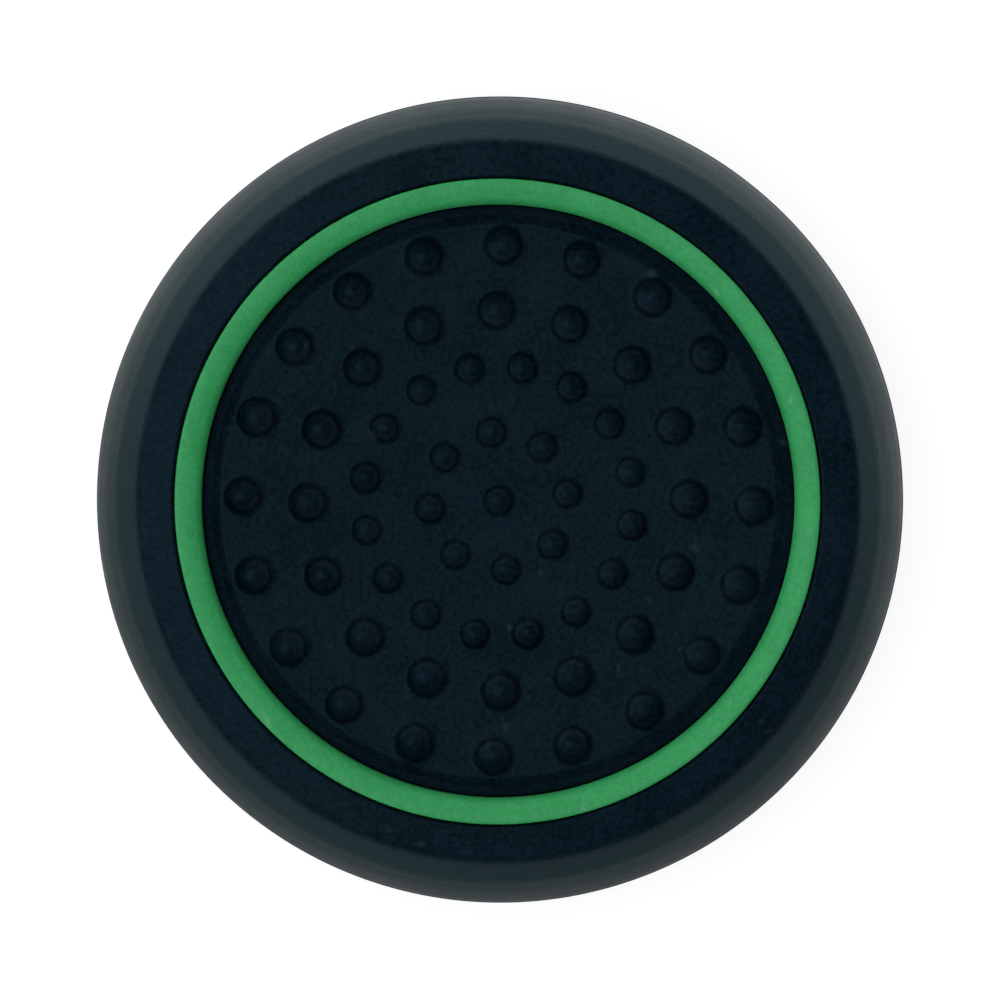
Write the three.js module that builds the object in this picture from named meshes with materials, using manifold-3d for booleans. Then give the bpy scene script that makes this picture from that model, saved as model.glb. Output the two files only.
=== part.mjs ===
// A thumb grip for a game controller: a silicone cap that stretches over the head of an analogue stick.
//
// It is two mouldings. The cap is one piece of black silicone: a barrel-shaped wall with a rounded shoulder,
// a dished pad with rows of domed studs, a hollow below for the stick's head, and a lip turned in under the
// head that holds the cap on. The accent ring is a green silicone band bonded in a groove round the rim.
//
// Millimetres, +Z up. The origin is on the axis of the stick, at the foot that the cap stands on.

import * as THREE from "three";
import { mergeVertices } from "three/addons/utils/BufferGeometryUtils.js";
import Module from "manifold-3d";

const wasm = await Module();
wasm.setup();

// Radii and widths, from the stick's head outwards, then back in over the top
const pocketRadius = 8.5; // relaxed, a little under the head that it stretches over
const sideWall = 1.5; // at the widest place
const lipReach = 2.2; // how far the lip turns in under the head
const rimLand = 0.89; // near-level band between the shoulder and the ring
const ringWidth = 0.62;
const bondGap = 0.04; // on each side of the ring in its groove
const creaseWidth = 0.21; // sloping mouth of the groove, inside the ring
const moatWidth = 0.25; // level channel between the crease and the pad

// Heights, from the foot upwards
const lipThickness = 1.2;
const pocketDepth = 4.6;
const crownThickness = 1.5; // under the lowest place of the pad
const padDish = 0.15; // how far the middle of the pad lies under its edge
const rimRise = 0.9; // crest of the rim over the edge of the pad
const landFall = 0.08; // how far the rim's land slopes down to the shoulder
const moatDepth = 0.12; // under the edge of the pad
const creaseDepth = 0.2; // under the moat
const ringSink = 0.4; // how far the ring is let in under the moat
const ringProud = 0.05; // over the crest of the rim
const ringCrown = 0.2; // height of the ring's half-oval top

// Rounding
const shoulderRadius = 3.0; // the rim's outer shoulder
const shoulderSlope = 40; // degrees from level, where the land breaks into the shoulder
const sideBulge = 20; // radius of the barrel-shaped side
const footRadius = 1.2; // lower outer corner
const pocketFillet = 0.8; // under the crown
const lipFillet = 0.6; // between the lip and the side wall
const padEdgeRadius = 0.08;
const landEdge = 0.08; // bevel of the land beside the ring

// Rows of studs. A row keeps its share of the pad's radius, and its turn is that of its first stud from +X.
const studSink = 0.1; // how far a stud's root runs into the pad
const largeStud = { radius: 0.49, height: 0.42 };
const smallStud = { radius: 0.39, height: 0.34 };
const studRows = [
  { share: 0.92, count: 20, turn: 88.9, stud: largeStud },
  { share: 0.686, count: 16, turn: 90.6, stud: largeStud },
  { share: 0.486, count: 16, turn: 79.9, stud: smallStud },
  { share: 0.249, count: 8, turn: 96.1, stud: smallStud },
  { share: 0, count: 1, turn: 0, stud: smallStud },
];

// How finely round stretches are cut
const roundSteps = 64; // flats round the cap
const studSteps = 10; // flats round a stud

// Places worked out from the sizes above
const bodyRadius = pocketRadius + sideWall;
const mouthRadius = pocketRadius - lipReach;
const shoulderCentre = bodyRadius - shoulderRadius;
const landOuterRadius = shoulderCentre + shoulderRadius * Math.sin(THREE.MathUtils.degToRad(shoulderSlope));
const grooveOuterRadius = landOuterRadius - rimLand;
const ringOuterRadius = grooveOuterRadius - bondGap;
const ringInnerRadius = ringOuterRadius - ringWidth;
const grooveInnerRadius = ringInnerRadius - bondGap;
const moatOuterRadius = grooveInnerRadius - creaseWidth;
const padRadius = moatOuterRadius - moatWidth;

const pocketTop = lipThickness + pocketDepth;
const padEdgeHeight = pocketTop + crownThickness + padDish;
const moatFloor = padEdgeHeight - moatDepth;
const grooveFloor = moatFloor - ringSink;
const crestHeight = padEdgeHeight + rimRise;
const widestHeight =
  crestHeight - landFall - shoulderRadius * Math.cos(THREE.MathUtils.degToRad(shoulderSlope));

const material = {
  black: new THREE.MeshStandardMaterial({ color: 0x0c1a21, roughness: 0.55, metalness: 0 }),
  green: new THREE.MeshStandardMaterial({ color: 0x3fa55f, roughness: 0.5, metalness: 0 }),
};

// Points along an arc in the turned section, from one angle to another in degrees, ends included.
function arc(radius, height, size, from, to, steps) {
  return Array.from({ length: steps + 1 }, (_, i) => {
    const angle = THREE.MathUtils.degToRad(from + ((to - from) * i) / steps);
    return new THREE.Vector2(radius + size * Math.cos(angle), height + size * Math.sin(angle));
  });
}

const at = (radius, height) => new THREE.Vector2(radius, height);

// Height of the dished pad at a radius.
const padHeight = (radius) => padEdgeHeight - padDish * (1 - (radius / padRadius) ** 2);

// A section turned about the Z axis.
function turned(section, steps = roundSteps) {
  return new THREE.LatheGeometry(section, steps).rotateX(Math.PI / 2);
}

// A closed geometry as a solid that can be joined or cut.
function solidOf(geometry) {
  const bare = geometry.clone();
  bare.deleteAttribute("normal");
  bare.deleteAttribute("uv");
  const merged = mergeVertices(bare, 1e-4);
  return new wasm.Manifold(
    new wasm.Mesh({
      numProp: 3,
      vertProperties: new Float32Array(merged.attributes.position.array),
      triVerts: new Uint32Array(merged.index.array),
    }),
  );
}

// A joined solid as a geometry again.
function geometryOf(solid) {
  const mesh = solid.getMesh();
  const geometry = new THREE.BufferGeometry();
  geometry.setAttribute("position", new THREE.BufferAttribute(mesh.vertProperties, 3));
  geometry.setIndex(new THREE.BufferAttribute(mesh.triVerts, 1));
  geometry.computeVertexNormals();
  return geometry;
}

// Bowl-shaped pad from the axis out to where its edge rounds down into the moat.
function padSection() {
  const flatRadius = padRadius - padEdgeRadius;
  const dish = [0, 0.4, 0.7].map((share) => at(flatRadius * share, padHeight(flatRadius * share)));
  return [...dish, ...arc(flatRadius, padEdgeHeight - padEdgeRadius, padEdgeRadius, 90, 0, 2)];
}

// Moat, crease, the open groove that the ring is bonded in, and the bevel up to the rim's land.
function grooveSection() {
  return [
    at(padRadius, moatFloor),
    at(moatOuterRadius, moatFloor),
    at(grooveInnerRadius, moatFloor - creaseDepth),
    at(grooveInnerRadius, grooveFloor),
    at(grooveOuterRadius, grooveFloor),
    at(grooveOuterRadius, crestHeight - landEdge),
    at(grooveOuterRadius + landEdge, crestHeight),
  ];
}

// Shoulder, barrel-shaped side and foot corner. Each arc runs on smoothly from the one before.
function sideSection() {
  const bulgeCentre = bodyRadius - sideBulge;
  const footTurn = Math.asin((widestHeight - footRadius) / (sideBulge - footRadius));
  const footCentre = bulgeCentre + (sideBulge - footRadius) * Math.cos(footTurn);
  const footStart = -THREE.MathUtils.radToDeg(footTurn);
  return [
    ...arc(shoulderCentre, widestHeight, shoulderRadius, 90 - shoulderSlope, 0, 5),
    ...arc(bulgeCentre, widestHeight, sideBulge, 0, footStart, 3).slice(1),
    ...arc(footCentre, footRadius, footRadius, footStart, -90, 4).slice(1),
  ];
}

// Rounded lip, pocket wall and crown, back to the axis.
function pocketSection() {
  const lipRound = lipThickness / 2;
  return [
    ...arc(mouthRadius + lipRound, lipRound, lipRound, 270, 90, 4),
    ...arc(pocketRadius - lipFillet, lipThickness + lipFillet, lipFillet, -90, 0, 2),
    ...arc(pocketRadius - pocketFillet, pocketTop - pocketFillet, pocketFillet, 0, 90, 3),
    at(0, pocketTop),
  ];
}

// A stud is a dome, standing on the origin, with a short root below it.
function studGeometry({ radius, height }) {
  const sphere = (radius ** 2 + height ** 2) / (2 * height);
  const dome = arc(0, height - sphere, sphere, 24, 90, 2).slice(0, -1);
  return turned([at(0, -studSink), at(radius, -studSink), ...dome, at(0, height)], studSteps);
}

// Every stud, placed on the dished pad.
function placedStuds() {
  return studRows.flatMap(({ share, count, turn, stud }) =>
    Array.from({ length: count }, (_, i) => {
      const rowRadius = share * padRadius;
      const angle = THREE.MathUtils.degToRad(turn + (360 * i) / count);
      return studGeometry(stud)
        .rotateZ(angle)
        .translate(rowRadius * Math.cos(angle), rowRadius * Math.sin(angle), padHeight(rowRadius));
    }),
  );
}

// The black cap with its studs, as one moulding.
function capMesh() {
  const section = [...padSection(), ...grooveSection(), ...sideSection(), ...pocketSection()];
  const body = turned(section.reverse());
  const solid = placedStuds().reduce((joined, stud) => joined.add(solidOf(stud)), solidOf(body));
  const mesh = new THREE.Mesh(geometryOf(solid), material.black);
  mesh.name = "grip_cap";
  return mesh;
}

// The green ring: a flat foot and upright sides in the groove, and a half-oval top that stands free.
function ringMesh() {
  const halfWidth = ringWidth / 2;
  const middle = ringInnerRadius + halfWidth;
  const crownFoot = crestHeight + ringProud - ringCrown;
  const halfCircle = arc(0, 0, 1, 180, 0, 6);
  const crown = halfCircle.map(({ x, y }) => at(middle + halfWidth * x, crownFoot + ringCrown * y));
  const section = [at(ringInnerRadius, grooveFloor), ...crown, at(ringOuterRadius, grooveFloor)];
  const mesh = new THREE.Mesh(turned([...section, section[0]].reverse()), material.green);
  mesh.name = "accent_ring";
  return mesh;
}

const grip = new THREE.Group();
grip.add(capMesh(), ringMesh());

export default grip;
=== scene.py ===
"""A black silicone thumb grip for a game controller with a green accent ring, seen from above."""

import math

import bpy
from mathutils import Matrix, Vector


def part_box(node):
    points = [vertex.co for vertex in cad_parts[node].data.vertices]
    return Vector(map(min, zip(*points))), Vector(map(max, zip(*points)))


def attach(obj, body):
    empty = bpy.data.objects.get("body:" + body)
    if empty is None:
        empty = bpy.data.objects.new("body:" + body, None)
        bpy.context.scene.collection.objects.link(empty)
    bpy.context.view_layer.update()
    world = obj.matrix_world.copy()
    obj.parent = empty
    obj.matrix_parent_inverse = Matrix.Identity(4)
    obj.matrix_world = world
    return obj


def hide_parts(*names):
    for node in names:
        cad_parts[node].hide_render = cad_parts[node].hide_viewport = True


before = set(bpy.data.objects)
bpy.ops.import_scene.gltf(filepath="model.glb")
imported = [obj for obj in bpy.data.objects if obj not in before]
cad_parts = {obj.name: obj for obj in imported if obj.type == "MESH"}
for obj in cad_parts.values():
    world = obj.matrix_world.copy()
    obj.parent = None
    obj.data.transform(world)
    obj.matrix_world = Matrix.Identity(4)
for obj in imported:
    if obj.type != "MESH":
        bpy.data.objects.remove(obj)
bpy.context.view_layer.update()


# Camera
# It looks down on the pad from far off, through a long lens, at two degrees from straight above.
# It stands a little towards the picture's upper right, so the rim leans a trace to the lower left.
mm = 0.001  # the frame is in metres
low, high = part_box("grip_cap")
body_radius = (high.x - low.x) / 2
IMAGE_PIXELS = 1000
OUTLINE_PIXELS = 805.6  # width of the round outline in the photograph
OUTLINE_RIGHT_PIXELS = -0.2  # from the picture's middle to the outline's
OUTLINE_UP_PIXELS = 0.3
camera_distance = 600 * mm
camera_lean = math.radians(2.0)
camera_side = math.radians(38)
widest_height = 6.0 * mm  # the place that draws the outline

pixel = 2 * body_radius / OUTLINE_PIXELS
target = Vector((-OUTLINE_RIGHT_PIXELS * pixel, -OUTLINE_UP_PIXELS * pixel, widest_height))
back = Vector((
    math.sin(camera_lean) * math.cos(camera_side),
    math.sin(camera_lean) * math.sin(camera_side),
    math.cos(camera_lean),
))
right = Vector((0, 1, 0)).cross(back).normalized()
camera = bpy.data.objects.new("camera", bpy.data.cameras.new("camera"))
camera.data.lens = camera.data.sensor_width * camera_distance / (IMAGE_PIXELS * pixel)
camera.matrix_world = (
    Matrix.Translation(target + back * camera_distance)
    @ Matrix((right, back.cross(right), back)).transposed().to_4x4()
)
bpy.context.scene.collection.objects.link(camera)
bpy.context.scene.camera = camera


# Cap
# One moulding of black silicone: pad, moat, rim, shoulder, barrel-shaped side, and below them the hollow for
# the stick's head with its inward lip. It leaves a lightly blasted steel mould that parts round the widest
# place, so it has a fine even grain, faint clouds, a hair-thin parting line, and draws a little lint.
ring_low, ring_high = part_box("accent_ring")
crest = high.z
bond_gap = 0.025 * mm
ring_radius = ring_high.x - 0.008 * mm
ring_width = 0.647 * mm
groove_floor = ring_low.z
groove_outer = ring_radius + bond_gap
groove_inner = ring_radius - ring_width - bond_gap
pad_radius = groove_inner - 0.44 * mm
pad_edge = crest - 0.9 * mm
pad_dish = 0.15 * mm
moat_middle = (pad_radius + groove_inner) / 2
moat_floor = pad_edge - 0.10 * mm
crease = moat_floor - 0.03 * mm  # the moat's far side, beside the ring
land_outer = groove_outer + 0.898 * mm
land_fall = 0.08 * mm
shoulder_slopes = [(9.46 * mm, 50), (9.75 * mm, 63), (body_radius, 72)]  # where each ends, and its degrees
shoulder = [(land_outer, crest - land_fall)]  # the corners between them
for out, slope in shoulder_slopes:
    run = out - shoulder[-1][0]
    shoulder.append((out, shoulder[-1][1] - run * math.tan(math.radians(slope))))
parting_line = 0.012 * mm  # how far it stands out, and half its height
side_corner = 3.39 * mm  # where the side begins to draw in towards the foot
side_lean = math.radians(14.7)
foot_corner = body_radius - side_corner * math.tan(side_lean)
mouth_radius = 6.3 * mm
lip_top = 1.2 * mm
pocket_radius = 8.5 * mm
pocket_top = 5.8 * mm
round_steps = 256


def pad_height(radius):
    """Height of the dished pad at a radius."""
    return pad_edge - pad_dish * (1 - (radius / pad_radius) ** 2)


def rounded(corners):
    """Points along a line of corners (out, up, rounding).

    A long straight stretch gets one more point near each end, so that smooth shading leaves it flat.
    """
    turn_step = math.radians(7)
    hold = 0.03 * mm
    long_stretch = 10 * hold
    line = []
    for i, (out, up, rounding) in enumerate(corners):
        here = Vector((out, up))
        curve = [here]
        if rounding:
            before = (Vector(corners[i - 1][:2]) - here).normalized()
            after = (Vector(corners[i + 1][:2]) - here).normalized()
            half = before.angle(after) / 2
            centre = here + (before + after).normalized() * rounding / math.sin(half)
            start = here + before * rounding / math.tan(half) - centre
            turn = (math.pi - 2 * half) * math.copysign(1, before.cross(after))
            steps = math.ceil(abs(turn) / turn_step)
            curve = [centre + Matrix.Rotation(-turn * k / steps, 2) @ start for k in range(steps + 1)]
        if line and (curve[0] - line[-1]).length > long_stretch:
            step = (curve[0] - line[-1]).normalized() * hold
            line += [line[-1] + step, curve[0] - step]
        line += curve
    return line


def add_node(tree, kind, inputs=None, **settings):
    """A new node with its settings, and each input given a value or linked from another node's output."""
    node = tree.nodes.new(kind)
    for name, value in settings.items():
        setattr(node, name, value)
    for key, value in (inputs or {}).items():
        if isinstance(value, bpy.types.NodeSocket):
            tree.links.new(value, node.inputs[key])
        else:
            node.inputs[key].default_value = value
    return node


def new_tree(name, kind, inputs, outputs):
    """A node group with named inputs (name, type, value) and outputs (name, type), and its group input."""
    tree = bpy.data.node_groups.new(name, kind)
    for label, socket, value in inputs:
        made = tree.interface.new_socket(label, in_out="INPUT", socket_type=socket)
        if value is not None:
            made.default_value = value
    for label, socket in outputs:
        tree.interface.new_socket(label, in_out="OUTPUT", socket_type=socket)
    return tree, tree.nodes.new("NodeGroupInput").outputs


def turned_section():
    """The tree that turns a section, drawn as a line of points, about the upright axis."""
    tree, given = new_tree("Turned section", "GeometryNodeTree", [
        ("Section", "NodeSocketGeometry", None),
        ("Path Radius", "NodeSocketFloat", 10 * mm),
        ("Steps", "NodeSocketInt", 64),
        ("Weld Distance", "NodeSocketFloat", 0.0001 * mm),
        ("Finish", "NodeSocketMaterial", None),
    ], [("Solid", "NodeSocketGeometry")])
    section = add_node(tree, "GeometryNodeMeshToCurve", {"Mesh": given["Section"]})
    path = add_node(tree, "GeometryNodeCurvePrimitiveCircle", {
        "Resolution": given["Steps"], "Radius": given["Path Radius"],
    })
    swept = add_node(tree, "GeometryNodeCurveToMesh", {
        "Curve": path.outputs["Curve"], "Profile Curve": section.outputs["Curve"],
    })
    welded = add_node(tree, "GeometryNodeMergeByDistance", {
        "Geometry": swept.outputs["Mesh"], "Distance": given["Weld Distance"],
    })
    smooth = add_node(tree, "GeometryNodeSetShadeSmooth", {"Geometry": welded.outputs["Geometry"]})
    real = add_node(tree, "GeometryNodeRealizeInstances", {"Geometry": smooth.outputs["Geometry"]})
    finished = add_node(tree, "GeometryNodeSetMaterial", {
        "Geometry": real.outputs["Geometry"], "Material": given["Finish"],
    })
    add_node(tree, "NodeGroupOutput", {"Solid": finished.outputs["Geometry"]})
    return tree


def grown(name, mesh, tree, **inputs):
    """A plain mesh object: what the tree makes of a mesh.

    The inputs are the tree's own, with an underline for each space in a name.
    """
    thing = bpy.data.objects.new(name, mesh)
    bpy.context.scene.collection.objects.link(thing)
    modifier = thing.modifiers.new(tree.name, "NODES")
    modifier.node_group = tree
    for item in tree.interface.items_tree:
        label = item.name.replace(" ", "_")
        if item.in_out == "INPUT" and label in inputs:
            modifier[item.identifier] = inputs[label]
    return settled(thing)


def settled(thing):
    """The object with what its modifiers make as its own mesh, and no modifiers."""
    shape = thing.evaluated_get(bpy.context.evaluated_depsgraph_get())
    thing.data = bpy.data.meshes.new_from_object(shape)
    thing.modifiers.clear()
    return thing


turning = turned_section()


def turned(name, section, finish, steps, closed=False):
    """A solid turned from a section of points (out, up) that runs from the axis over the top and back."""
    path_radius = max(point[0] for point in section)
    mesh = bpy.data.meshes.new(name)
    edges = [(i, i + 1) for i in range(len(section) - 1)]
    if closed:
        edges.append((len(section) - 1, 0))
    mesh.from_pydata([(out - path_radius, -up, 0) for out, up in section], edges, [])
    return grown(name, mesh, turning, Path_Radius=path_radius, Steps=steps, Finish=finish)


def silicone_skin():
    """The shader group for what all moulded silicone shows: grain, clouds and specks of lint."""
    speck_start, speck_full = 0.70, 0.80  # only the peaks of the noise make a speck
    tree, given = new_tree("Silicone skin", "ShaderNodeTree", [
        ("Grain Scale", "NodeSocketFloat", 9000.0),
        ("Cloud Scale", "NodeSocketFloat", 700.0),
        ("Speck Scale", "NodeSocketFloat", 1500.0),
    ], [("Grain", "NodeSocketFloat"), ("Clouds", "NodeSocketFloat"), ("Specks", "NodeSocketFloat")])
    place = add_node(tree, "ShaderNodeTexCoord").outputs["Object"]
    grain = add_node(tree, "ShaderNodeTexNoise", {
        "Vector": place, "Scale": given["Grain Scale"], "Detail": 3.0, "Roughness": 0.6,
    })
    clouds = add_node(tree, "ShaderNodeTexNoise", {
        "Vector": place, "Scale": given["Cloud Scale"], "Detail": 4.0, "Roughness": 0.55,
    })
    lint = add_node(tree, "ShaderNodeTexNoise", {
        "Vector": place, "Scale": given["Speck Scale"], "Detail": 2.0, "Roughness": 0.5,
    })
    specks = add_node(tree, "ShaderNodeMapRange", {
        "Value": lint.outputs["Fac"], "From Min": speck_start, "From Max": speck_full,
    })
    add_node(tree, "NodeGroupOutput", {
        "Grain": grain.outputs["Fac"],
        "Clouds": clouds.outputs["Fac"],
        "Specks": specks.outputs["Result"],
    })
    return tree


skin = silicone_skin()


def tinted(tree, factor, first, second):
    """The output of a colour mix."""
    mix = tree.nodes.new("ShaderNodeMix")
    mix.data_type = "RGBA"
    sockets = {socket.identifier: socket for socket in mix.inputs}
    for key, value in (("Factor_Float", factor), ("A_Color", first), ("B_Color", second)):
        if isinstance(value, bpy.types.NodeSocket):
            tree.links.new(value, sockets[key])
        else:
            sockets[key].default_value = (*value, 1)
    return next(socket for socket in mix.outputs if socket.identifier == "Result_Color")


def silicone(name, deep, light, lint, smoothest, roughest, gloss, tint, relief, painted_sheen=None):
    """A silicone whose colour runs from deep to light with its grain and clouds, with a little lint on it.

    The last argument (deep, light, from radius, to radius) paints a sheen, a trace paler away from the
    upright axis.
    """
    cloud_share = 0.5  # of the clouds in the tone, where the grain has 1
    tone_low, tone_high = 0.6, 0.9
    cloud_low, cloud_high = 0.3, 0.7
    material = bpy.data.materials.new(name)
    material.use_nodes = True
    tree = material.node_tree
    shader = tree.nodes["Principled BSDF"]
    shader.inputs["Specular IOR Level"].default_value = gloss
    shader.inputs["Specular Tint"].default_value = (*tint, 1)
    marks = add_node(tree, "ShaderNodeGroup", node_tree=skin).outputs
    cloudy = add_node(tree, "ShaderNodeMath", {0: marks["Clouds"], 1: cloud_share}, operation="MULTIPLY")
    both = add_node(tree, "ShaderNodeMath", {0: marks["Grain"], 1: cloudy.outputs[0]}, operation="ADD")
    tone = add_node(tree, "ShaderNodeMapRange", {
        "Value": both.outputs[0], "From Min": tone_low, "From Max": tone_high,
    })
    body = tinted(tree, tone.outputs["Result"], deep, light)
    # Painted sheen: a paler colour towards the outside stands in for the reflection of the bright floor and
    # walls.
    if painted_sheen:
        pale_deep, pale_light, start, end = painted_sheen
        pale = tinted(tree, tone.outputs["Result"], pale_deep, pale_light)
        place = add_node(tree, "ShaderNodeTexCoord").outputs["Object"]
        level = add_node(tree, "ShaderNodeVectorMath", {0: place, 1: (1, 1, 0)}, operation="MULTIPLY")
        radius = add_node(tree, "ShaderNodeVectorMath", {0: level.outputs["Vector"]}, operation="LENGTH")
        outside = add_node(tree, "ShaderNodeMapRange", {
            "Value": radius.outputs["Value"], "From Min": start, "From Max": end,
        }, interpolation_type="SMOOTHSTEP")
        body = tinted(tree, outside.outputs["Result"], body, pale)
    matt = add_node(tree, "ShaderNodeMapRange", {
        "Value": marks["Clouds"], "From Min": cloud_low, "From Max": cloud_high,
        "To Min": smoothest, "To Max": roughest,
    })
    bump = add_node(tree, "ShaderNodeBump", {"Height": marks["Grain"], "Distance": relief})
    tree.links.new(tinted(tree, marks["Specks"], body, lint), shader.inputs["Base Color"])
    tree.links.new(matt.outputs["Result"], shader.inputs["Roughness"])
    tree.links.new(bump.outputs["Normal"], shader.inputs["Normal"])
    return material


# Painted sheen on the shoulder and side: a paler colour in place of their reflection of the bright floor and
# walls.
painted_sheen_start = land_outer - 0.2 * mm
painted_sheen_end = land_outer + 0.45 * mm
black_silicone = silicone(
    "black silicone",
    deep=(0.0002, 0.0015, 0.0056),
    light=(0.0029, 0.0065, 0.0136),
    lint=(0.012, 0.022, 0.028),
    smoothest=0.40,
    roughest=0.48,
    gloss=0.2,
    tint=(0.33, 0.9, 1.0),
    relief=0.012 * mm,
    painted_sheen=((0.002, 0.008, 0.0105), (0.004, 0.014, 0.0165), painted_sheen_start, painted_sheen_end),
)
pad_steps = 30
pad = [(pad_radius * i / pad_steps, pad_height(pad_radius * i / pad_steps), 0) for i in range(pad_steps)]
# The section's corners, from the pad's middle over the rim and round to the pocket: out, up and rounding.
cap_corners = pad + [
    (pad_radius, pad_edge, 0.12 * mm),
    (moat_middle, moat_floor, 0.25 * mm),
    (groove_inner, crease, 0.03 * mm),
    (groove_inner, groove_floor, 0.02 * mm),
    (groove_outer, groove_floor, 0.02 * mm),
    (groove_outer, crest, 0.08 * mm),
    (*shoulder[0], 0.4 * mm),
    (*shoulder[1], 0.8 * mm),
    (*shoulder[2], 2.4 * mm),
    (*shoulder[3], 2.0 * mm),
    (body_radius, widest_height + parting_line, 0),
    (body_radius + parting_line, widest_height, 0),
    (body_radius, widest_height - parting_line, 0),
    (body_radius, side_corner, 20 * mm),
    (foot_corner, 0, 1.2 * mm),
    (mouth_radius, 0, 0.58 * mm),
    (mouth_radius, lip_top, 0.58 * mm),
    (pocket_radius, lip_top, 0.6 * mm),
    (pocket_radius, pocket_top, 0.8 * mm),
    (0, pocket_top, 0),
]
cap = turned("cap", rounded(cap_corners), black_silicone, round_steps)


# Studs
# Four rows of silicone domes round one in the middle, raised from the pad in the same shot as the cap, and so
# one piece with it. The two outer rows are of large studs, and each stud flares into the pad at its foot.
large_stud = {"radius": 0.475 * mm, "height": 0.35 * mm}
small_stud = {"radius": 0.375 * mm, "height": 0.28 * mm}
stud_flare = 0.11 * mm
stud_root = 0.1 * mm
stud_steps = 40
# A row is the share of the pad's radius at which it stands, its number of studs, and the first one's degrees.
large_rows = [(0.92, 20, 88.9), (0.686, 16, 90.6)]
small_rows = [(0.486, 16, 79.9), (0.249, 8, 96.1), (0, 1, 0)]


def stud_section(radius, height):
    """A dome that meets the pad in a small hollow curve and ends in a root below it."""
    seat = 0.002 * mm  # how far the flare's end lies under the pad
    sphere = (radius ** 2 + height ** 2) / (2 * height)
    middle = height - sphere
    reach = math.sqrt((sphere + stud_flare) ** 2 - (stud_flare - middle) ** 2)
    touch = math.atan2(stud_flare - middle, reach)
    dome_steps = 10
    flare_steps = 5
    points = []
    for k in range(dome_steps + 1):
        angle = math.pi / 2 + (touch - math.pi / 2) * k / dome_steps
        points.append((sphere * math.cos(angle), middle + sphere * math.sin(angle) - seat))
    for k in range(1, flare_steps + 1):
        angle = math.pi + touch + (math.pi / 2 - touch) * k / flare_steps
        out = reach + stud_flare * math.cos(angle)
        points.append((out, stud_flare + stud_flare * math.sin(angle) - seat))
    points[0] = (0, height - seat)
    return points + [(reach, -stud_root), (0, -stud_root)]


def stud_rows():
    """The tree that sets a row of studs from each point, upright to the dish of the pad."""
    tree, given = new_tree("Stud rows", "GeometryNodeTree", [
        ("Rows", "NodeSocketGeometry", None),
        ("Stud", "NodeSocketObject", None),
        ("Dish", "NodeSocketFloat", pad_dish),
        ("Pad Radius", "NodeSocketFloat", pad_radius),
        ("Least Size", "NodeSocketFloat", 0.97),
        ("Greatest Size", "NodeSocketFloat", 1.03),
        ("Seed", "NodeSocketInt", 7),
        ("Finish", "NodeSocketMaterial", None),
    ], [("Studs", "NodeSocketGeometry")])

    def maths(operation, first, second):
        return add_node(tree, "ShaderNodeMath", {0: first, 1: second}, operation=operation).outputs[0]

    count = add_node(tree, "GeometryNodeInputNamedAttribute", {"Name": "count"}, data_type="INT")
    turn = add_node(tree, "GeometryNodeInputNamedAttribute", {"Name": "turn"}, data_type="FLOAT")
    copies = add_node(tree, "GeometryNodeDuplicateElements", {
        "Geometry": given["Rows"], "Amount": count.outputs["Attribute"],
    }, domain="POINT")
    share = maths("DIVIDE", copies.outputs["Duplicate Index"], count.outputs["Attribute"])
    angle = maths("ADD", turn.outputs["Attribute"], maths("MULTIPLY", share, 2 * math.pi))
    swung = add_node(tree, "ShaderNodeVectorRotate", {
        "Vector": add_node(tree, "GeometryNodeInputPosition").outputs["Position"], "Angle": angle,
    }, rotation_type="Z_AXIS")
    placed = add_node(tree, "GeometryNodeSetPosition", {
        "Geometry": copies.outputs["Geometry"], "Position": swung.outputs["Vector"],
    })
    flat = add_node(tree, "ShaderNodeSeparateXYZ", {
        "Vector": add_node(tree, "GeometryNodeInputPosition").outputs["Position"],
    })
    # The dish is a parabola, so its upright leans inwards by 2 * dish * radius / pad radius squared.
    bend = maths("DIVIDE", maths("MULTIPLY", given["Dish"], -2.0), maths("POWER", given["Pad Radius"], 2.0))
    upright = add_node(tree, "ShaderNodeCombineXYZ", {
        "X": maths("MULTIPLY", flat.outputs["X"], bend),
        "Y": maths("MULTIPLY", flat.outputs["Y"], bend),
        "Z": 1.0,
    })
    leaning = add_node(tree, "FunctionNodeAlignRotationToVector", {
        "Vector": upright.outputs["Vector"],
    }, axis="Z")
    size = add_node(tree, "FunctionNodeRandomValue", {
        2: given["Least Size"], 3: given["Greatest Size"], "Seed": given["Seed"],
    }, data_type="FLOAT")
    stud = add_node(tree, "GeometryNodeObjectInfo", {"Object": given["Stud"]})
    set_out = add_node(tree, "GeometryNodeInstanceOnPoints", {
        "Points": placed.outputs["Geometry"],
        "Instance": stud.outputs["Geometry"],
        "Rotation": leaning.outputs["Rotation"],
        "Scale": size.outputs[1],
    })
    real = add_node(tree, "GeometryNodeRealizeInstances", {"Geometry": set_out.outputs["Instances"]})
    finished = add_node(tree, "GeometryNodeSetMaterial", {
        "Geometry": real.outputs["Geometry"], "Material": given["Finish"],
    })
    add_node(tree, "NodeGroupOutput", {"Studs": finished.outputs["Geometry"]})
    return tree


def studs(name, rows, size, tree):
    """Every stud of some rows of one size, as a mesh."""
    pattern = turned("stud", stud_section(**size), black_silicone, stud_steps)
    places = [(share * pad_radius, 0, pad_height(share * pad_radius)) for share, _, _ in rows]
    counts = [count for _, count, _ in rows]
    turns = [math.radians(turn) for _, _, turn in rows]
    points = bpy.data.meshes.new(name)
    points.from_pydata(places, [], [])
    points.attributes.new("count", "INT", "POINT").data.foreach_set("value", counts)
    points.attributes.new("turn", "FLOAT", "POINT").data.foreach_set("value", turns)
    made = grown(name, points, tree, Stud=pattern, Finish=black_silicone)
    bpy.data.objects.remove(pattern)
    return made


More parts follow.
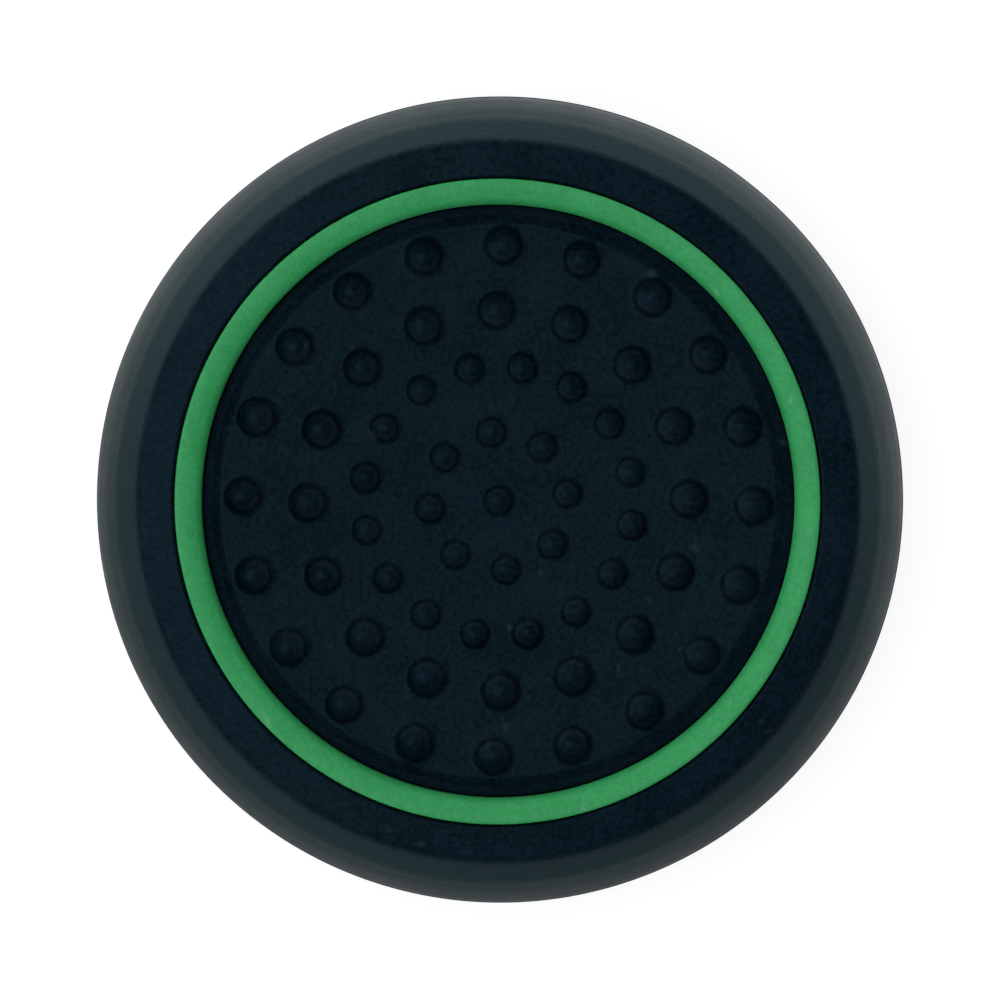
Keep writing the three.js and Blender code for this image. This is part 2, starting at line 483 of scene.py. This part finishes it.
stud_tree = stud_rows()
sets = [
    studs("large studs", large_rows, large_stud, stud_tree),
    studs("small studs", small_rows, small_stud, stud_tree),
]
for made in sets:
    union = cap.modifiers.new(made.name, "BOOLEAN")
    union.operation = "UNION"
    union.solver = "EXACT"
    union.object = made
settled(cap)
for made in sets:
    bpy.data.objects.remove(made)
cap.data.materials.clear()
cap.data.materials.append(black_silicone)
for face in cap.data.polygons:
    face.material_index = 0
    face.use_smooth = True
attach(cap, "root")
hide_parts("grip_cap")


# Accent ring
# A band of green silicone, moulded in a shot of its own and bonded in the groove inside the rim. Its top
# rises in a quarter-oval from the moat, stands a hair over the black and turns down sharply on the outside.
ring_top = ring_high.z
ring_slope = (0.56 * mm, 0.56 * mm)  # how far the inner side of the crown reaches in and falls
ring_round = (ring_width - ring_slope[0], 0.10 * mm)  # the same for its outer side
ring_chamfer = 0.02 * mm  # at its foot
crown_steps = 12
green_silicone = silicone(
    "green silicone",
    deep=(0.020, 0.258, 0.074),
    light=(0.032, 0.310, 0.098),
    lint=(0.12, 0.34, 0.19),
    smoothest=0.42,
    roughest=0.52,
    gloss=0.25,
    tint=(1, 1, 1),
    relief=0.003 * mm,
)
crown_peak = ring_radius - ring_round[0]
crown = []
for k in range(2 * crown_steps + 1):
    reach, fall = ring_slope if k < crown_steps else ring_round
    angle = math.pi / 2 * k / crown_steps
    crown.append((crown_peak - reach * math.cos(angle), ring_top - fall + fall * math.sin(angle)))
ring_foot = [
    (ring_radius, groove_floor + ring_chamfer),
    (ring_radius - ring_chamfer, groove_floor),
    (ring_radius - ring_width + ring_chamfer, groove_floor),
    (ring_radius - ring_width, groove_floor + ring_chamfer),
]
ring = turned("ring", crown + ring_foot, green_silicone, round_steps, closed=True)
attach(ring, "root")
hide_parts("accent_ring")


# Studio
# A white floor that keeps a soft shadow, and pale walls, brighter at the upper left, under a dim ceiling.
# A broad polarised lamp overhead lights the colours and leaves no gleam. A small one near the left of the cap
# gives a gleam alone.
bpy.context.scene.view_settings.view_transform = "Standard"
floor_half = 1500 * mm
floor_card = (0.5, 0.5, 0.5, 1)
floor_white = 0.71  # glow for the camera alone, which makes the card white
mirror_place = (-12 * mm, 22 * mm)  # how far up the picture the cap sees the floor darkest and brightest
mirror_glow = (0.1, 0.8)
wall_edge = (0.05, 0.35)  # sines of the angles over the floor between which the walls fade to the ceiling
wall_glow = 2.3
ceiling_glow = 0.06
wall_side = (-0.8, 0.5, 0.0)  # towards the brighter wall
wall_change = 0.45  # how much of their glow the walls gain on that side and lose on the other


def soft_lamp(name, place, width, watts):
    """A round area lamp that faces the cap."""
    lamp = bpy.data.objects.new(name, bpy.data.lights.new(name, "AREA"))
    lamp.data.shape = "DISK"
    lamp.data.size = width
    lamp.data.energy = watts
    lamp.location = place
    lamp.rotation_mode = "QUATERNION"
    lamp.rotation_quaternion = lamp.location.to_track_quat("Z", "Y")
    bpy.context.scene.collection.objects.link(lamp)
    return lamp


overhead = soft_lamp("overhead lamp", place=(-70 * mm, 20 * mm, 830 * mm), width=1500 * mm, watts=9.6)
overhead.visible_glossy = False
near = soft_lamp("near lamp", place=(-30 * mm, 2 * mm, 78 * mm), width=60 * mm, watts=0.0093)
near.visible_diffuse = False
near.visible_camera = False

floor_mesh = bpy.data.meshes.new("floor")
floor_mesh.from_pydata([
    (-floor_half, -floor_half, 0),
    (floor_half, -floor_half, 0),
    (floor_half, floor_half, 0),
    (-floor_half, floor_half, 0),
], [], [(0, 1, 2, 3)])
floor = bpy.data.objects.new("floor", floor_mesh)
bpy.context.scene.collection.objects.link(floor)
paper = bpy.data.materials.new("paper")
paper.use_nodes = True
tree = paper.node_tree
tree.nodes.clear()
card = add_node(tree, "ShaderNodeBsdfDiffuse", {"Color": floor_card})
path = add_node(tree, "ShaderNodeLightPath").outputs
mirrored = add_node(tree, "ShaderNodeMath", {
    0: path["Is Glossy Ray"], 1: path["Is Transmission Ray"],
}, operation="MAXIMUM")
up_the_picture = add_node(tree, "ShaderNodeVectorMath", {
    0: add_node(tree, "ShaderNodeTexCoord").outputs["Object"], 1: (0.2, 1.0, 0.0),
}, operation="DOT_PRODUCT")
sheet = add_node(tree, "ShaderNodeMapRange", {
    "Value": up_the_picture.outputs["Value"],
    "From Min": mirror_place[0],
    "From Max": mirror_place[1],
    "To Min": mirror_glow[0],
    "To Max": mirror_glow[1],
}, interpolation_type="SMOOTHSTEP")
faint = add_node(tree, "ShaderNodeMath", {
    0: mirrored.outputs[0], 1: sheet.outputs["Result"],
}, operation="MULTIPLY")
strength = add_node(tree, "ShaderNodeMath", {
    0: path["Is Camera Ray"], 1: floor_white, 2: faint.outputs[0],
}, operation="MULTIPLY_ADD")
glow = add_node(tree, "ShaderNodeEmission", {"Strength": strength.outputs[0]})
lit = add_node(tree, "ShaderNodeAddShader", {0: card.outputs[0], 1: glow.outputs[0]})
add_node(tree, "ShaderNodeOutputMaterial", {"Surface": lit.outputs[0]})
floor_mesh.materials.append(paper)

world = bpy.data.worlds.new("walls")
bpy.context.scene.world = world
world.use_nodes = True
tree = world.node_tree
tree.nodes.clear()
direction = add_node(tree, "ShaderNodeTexCoord").outputs["Generated"]
towards = add_node(tree, "ShaderNodeSeparateXYZ", {"Vector": direction})
wall = add_node(tree, "ShaderNodeMapRange", {
    "Value": towards.outputs["Z"],
    "From Min": wall_edge[0],
    "From Max": wall_edge[1],
    "To Min": wall_glow,
    "To Max": ceiling_glow,
}, interpolation_type="SMOOTHSTEP")
side = add_node(tree, "ShaderNodeVectorMath", {0: direction, 1: wall_side}, operation="DOT_PRODUCT")
share = add_node(tree, "ShaderNodeMath", {
    0: side.outputs["Value"], 1: wall_change, 2: 1.0,
}, operation="MULTIPLY_ADD")
lit_wall = add_node(tree, "ShaderNodeMath", {
    0: wall.outputs["Result"], 1: share.outputs[0],
}, operation="MULTIPLY")
around = add_node(tree, "ShaderNodeBackground", {"Color": (1, 1, 1, 1), "Strength": lit_wall.outputs[0]})
add_node(tree, "ShaderNodeOutputWorld", {"Surface": around.outputs[0]})
